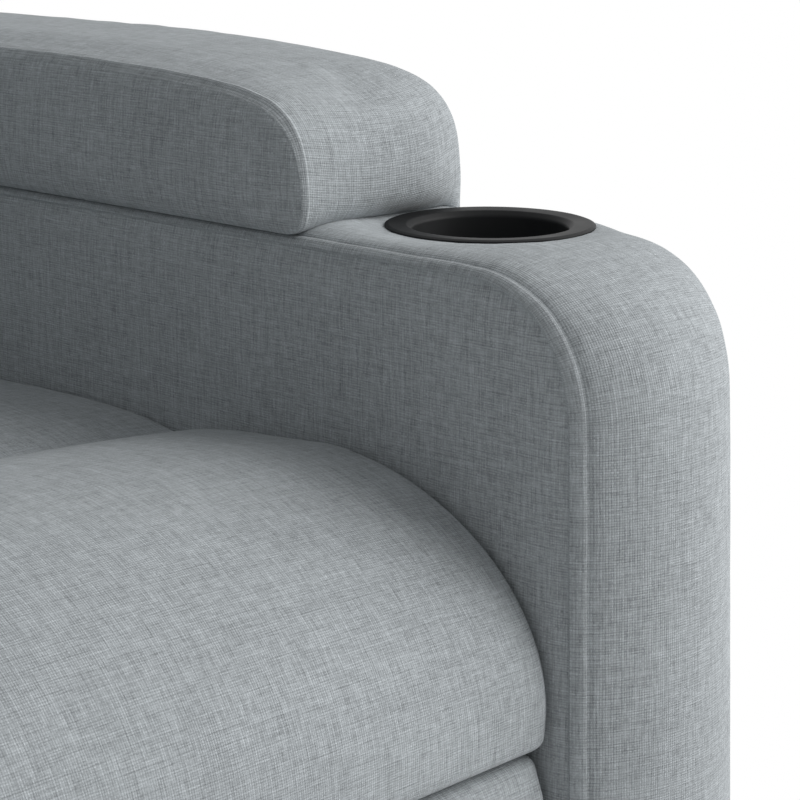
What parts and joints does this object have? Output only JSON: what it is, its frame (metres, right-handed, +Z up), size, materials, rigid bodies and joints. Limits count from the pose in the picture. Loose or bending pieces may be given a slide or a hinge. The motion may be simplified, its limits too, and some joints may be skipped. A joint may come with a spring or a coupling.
{
  "type": "lift recliner chair",
  "caption": "Upholstered lift recliner armchair: four-bar lift base, reclining back with side wings, folding legrest, raised arm pads and a cup holder in each arm.",
  "frame": {"origin": "centre of the chair's bounding box, on the floor under the glides", "axes": "+Z up; the sitter faces -Y; +X is the sitter's left"},
  "size_m": [0.898, 0.9153, 1.0312],
  "materials": {
    "upholstery_fabric": "plain linen-look weave, light cool grey, with double-stitched seams",
    "frame_steel": "black powder coat",
    "zinc_steel": "zinc-plated, dull",
    "plywood": "raw plywood and hardwood, sanded",
    "black_plastic": "satin injection-moulded plastic",
    "glide_plastic": "hard plastic glide",
    "deck_board": "pressed fibreboard",
    "button_plastic": "light grey keys"
  },
  "bodies": {
    "base": {"base_rail_left": "frame_steel", "base_rail_right": "frame_steel", "base_cross_front": "frame_steel", "base_cross_rear": "frame_steel", "base_uprights": "frame_steel", "floor_glides": "glide_plastic", "motor_clevis": "frame_steel", "power_supply": "black_plastic"},
    "lift_front_links": {"lift_link_front_left": "frame_steel", "lift_link_front_right": "frame_steel", "lift_cross_tube": "frame_steel", "lift_crank": "frame_steel"},
    "lift_rear_links": {"lift_link_rear_left": "frame_steel", "lift_link_rear_right": "frame_steel"},
    "lift_drive": {"lift_motor": "black_plastic", "lift_motor_tube": "zinc_steel"},
    "lift_rod": {"lift_motor_rod": "zinc_steel"},
    "chair": {"side_plate_left": "frame_steel", "side_plate_right": "frame_steel", "frame_cross_tubes": "frame_steel", "frame_pivot_pins": "zinc_steel", "seat_frame": "plywood", "seat_springs": "zinc_steel", "seat_deck": "deck_board", "seat_cushion": "upholstery_fabric", "arm_left": "upholstery_fabric", "arm_right": "upholstery_fabric", "arm_frame_left": "plywood", "arm_frame_right": "plywood", "arm_pad_left": "upholstery_fabric", "arm_pad_right": "upholstery_fabric", "cup_holder_left": "black_plastic", "cup_holder_right": "black_plastic", "side_pocket_left": "upholstery_fabric", "side_pocket_right": "upholstery_fabric", "rear_panel": "upholstery_fabric", "back_hinge_brackets": "frame_steel", "recline_motor": "black_plastic"},
    "recline_rod": {"recline_motor_rod": "zinc_steel"},
    "back": {"back_frame": "plywood", "back_shell": "upholstery_fabric", "lumbar_cushion": "upholstery_fabric", "shoulder_cushion": "upholstery_fabric", "head_cushion": "upholstery_fabric", "wing_left": "upholstery_fabric", "wing_right": "upholstery_fabric", "recline_lever": "frame_steel"},
    "footrest_main": {"footrest_torque_tube": "frame_steel", "footrest_links_main": "frame_steel"},
    "footrest_outer": {"footrest_links_outer": "frame_steel"},
    "footrest_steer": {"footrest_links_steer": "frame_steel"},
    "footrest_guide": {"footrest_links_guide": "frame_steel"},
    "footrest": {"footrest_board": "plywood", "footrest_pad": "upholstery_fabric", "footrest_brackets": "frame_steel"},
    "handset": {"handset": "black_plastic"},
    "button_lift": {"button_lift": "button_plastic"},
    "button_lower": {"button_lower": "button_plastic"},
    "button_back_up": {"button_back_up": "button_plastic"},
    "button_back_down": {"button_back_down": "button_plastic"}
  },
  "joints": [
    {"name": "lift", "type": "hinge", "parent": "base", "child": "lift_front_links", "pos_m": [0, -0.264, 0.11], "axis": [1, 0, 0], "range_deg": [0, 56]},
    {"name": "lift_rear_swing", "type": "hinge", "parent": "base", "child": "lift_rear_links", "pos_m": [0, -0.1888, 0.1072], "axis": [1, 0, 0], "range_deg": [0, 47.92]},
    {"name": "chair_on_links", "type": "hinge", "parent": "lift_front_links", "child": "chair", "pos_m": [0, 0.0254, 0.0901], "axis": [-1, 0, 0], "range_deg": [0, 32.79]},
    {"name": "lift_drive_swing", "type": "hinge", "parent": "base", "child": "lift_drive", "pos_m": [0, 0.272, 0.1], "axis": [1, 0, 0], "range_deg": [0, 1.14]},
    {"name": "lift_rod_slide", "type": "slide", "parent": "lift_drive", "child": "lift_rod", "axis": [0, -0.9787, 0.2052], "range_m": [0, 0.10069]},
    {"name": "back_recline", "type": "hinge", "parent": "chair", "child": "back", "pos_m": [0, 0.185, 0.4], "axis": [-1, 0, 0], "range_deg": [0, 40]},
    {"name": "recline_rod_slide", "type": "slide", "parent": "chair", "child": "recline_rod", "axis": [0, -1, 0], "range_m": [0, 0.09192]},
    {"name": "footrest_open", "type": "hinge", "parent": "chair", "child": "footrest_main", "pos_m": [0, -0.215, 0.29], "axis": [-1, 0, 0], "range_deg": [0, 84.3]},
    {"name": "footrest_outer_turn", "type": "hinge", "parent": "footrest_main", "child": "footrest_outer", "pos_m": [0, -0.2, 0.09], "axis": [1, 0, 0], "range_deg": [0, 114.31]},
    {"name": "footrest_board_turn", "type": "hinge", "parent": "footrest_outer", "child": "footrest", "pos_m": [0, -0.362, 0.215], "axis": [-1, 0, 0], "range_deg": [0, 110.01]},
    {"name": "footrest_steer_turn", "type": "hinge", "parent": "chair", "child": "footrest_steer", "pos_m": [0, -0.2563, 0.2304], "axis": [-1, 0, 0], "range_deg": [0, 93.4]},
    {"name": "footrest_guide_turn", "type": "hinge", "parent": "footrest_main", "child": "footrest_guide", "pos_m": [0, -0.1856, 0.1295], "axis": [1, 0, 0], "range_deg": [0, 114.67]},
    {"name": "handset_lift_out", "type": "slide", "parent": "chair", "child": "handset", "axis": [0, 0, 1], "range_m": [0, 0.2]},
    {"name": "button_lift_press", "type": "slide", "parent": "handset", "child": "button_lift", "axis": [1, 0, 0], "range_m": [0, 0.0015], "stiffness_N_per_m": 1500},
    {"name": "button_lower_press", "type": "slide", "parent": "handset", "child": "button_lower", "axis": [1, 0, 0], "range_m": [0, 0.0015], "stiffness_N_per_m": 1500},
    {"name": "button_back_up_press", "type": "slide", "parent": "handset", "child": "button_back_up", "axis": [1, 0, 0], "range_m": [0, 0.0015], "stiffness_N_per_m": 1500},
    {"name": "button_back_down_press", "type": "slide", "parent": "handset", "child": "button_back_down", "axis": [1, 0, 0], "range_m": [0, 0.0015], "stiffness_N_per_m": 1500}
  ],
  "couplings": [
    {"joint": "lift_rear_swing", "follows": "lift", "ratio": 0.8556},
    {"joint": "chair_on_links", "follows": "lift", "ratio": 0.58536},
    {"joint": "lift_drive_swing", "follows": "lift", "ratio": 0.020193},
    {"joint": "lift_rod_slide", "follows": "lift", "m_per_rad": 0.10282},
    {"joint": "recline_rod_slide", "follows": "back_recline", "m_per_rad": 0.13138},
    {"joint": "footrest_outer_turn", "follows": "footrest_open", "ratio": 1.3559},
    {"joint": "footrest_board_turn", "follows": "footrest_open", "ratio": 1.3049},
    {"joint": "footrest_steer_turn", "follows": "footrest_open", "ratio": 1.1078},
    {"joint": "footrest_guide_turn", "follows": "footrest_open", "ratio": 1.3602}
  ]
}
